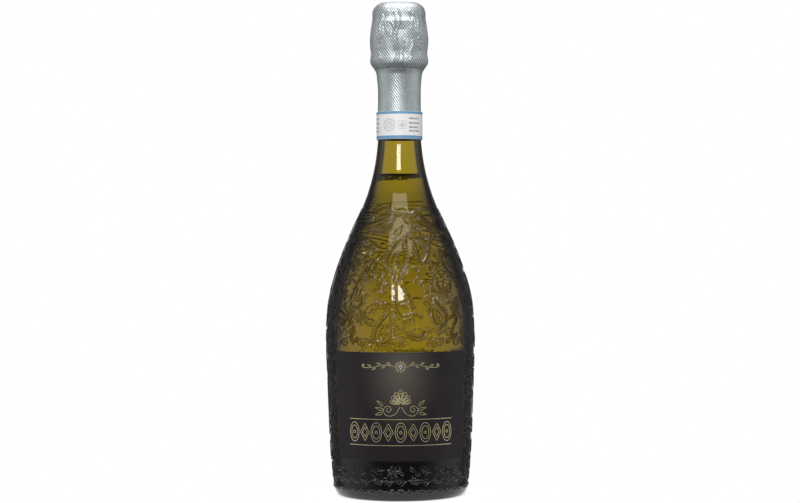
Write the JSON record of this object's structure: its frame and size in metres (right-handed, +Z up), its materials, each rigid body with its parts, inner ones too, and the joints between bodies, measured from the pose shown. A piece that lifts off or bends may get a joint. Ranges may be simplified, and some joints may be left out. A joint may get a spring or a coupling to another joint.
{
  "type": "sparkling wine bottle",
  "caption": "Sparkling wine bottle, full and unopened, with cork, crown plate, wire cage, foil hood, neck band and front label.",
  "frame": {"origin": "centre of the base, on the surface that the bottle stands on", "axes": "+Z up along the bottle's axis, the front label faces -Y, +X to the right of the label"},
  "size_m": [0.0908, 0.0924, 0.3011],
  "materials": {
    "green_glass": "polished",
    "wine": "clear liquid",
    "black_label": "satin",
    "rose_stone": "faceted",
    "silver_foil": "embossed and crumpled",
    "white_band": "coated",
    "pressed_cork": "granular",
    "natural_cork": "cut",
    "tin_plate": "satin",
    "steel_wire": "galvanised"
  },
  "bodies": {
    "bottle": {"glass_bottle": "green_glass", "wine": "wine", "front_label": "black_label", "label_gem": "rose_stone", "foil_skirt": "silver_foil", "neck_band": "white_band"},
    "cork": {"cork_body": "pressed_cork", "cork_disc_upper": "natural_cork", "cork_disc_lower": "natural_cork"},
    "muselet": {"crown_plate": "tin_plate", "muselet_frame": "steel_wire", "muselet_belt": "steel_wire"},
    "hood": {"foil_hood": "silver_foil"},
    "key": {"muselet_key": "steel_wire"}
  },
  "joints": [
    {"name": "cork_pull", "type": "slide", "parent": "bottle", "child": "cork", "axis": [0, 0, 1], "range_m": [0, 0.05]},
    {"name": "muselet_lift", "type": "slide", "parent": "cork", "child": "muselet", "axis": [0, 0, 1], "range_m": [0, 0.045], "deforming": ["muselet_frame", "muselet_belt"]},
    {"name": "hood_lift", "type": "slide", "parent": "muselet", "child": "hood", "axis": [0, 0, 1], "range_m": [0, 0.05], "deforming": ["foil_hood"]},
    {"name": "key_fold", "type": "hinge", "parent": "muselet", "child": "key", "pos_m": [0, -0.0166, 0.2658], "axis": [1, 0, 0], "range_deg": [0, 95]}
  ]
}
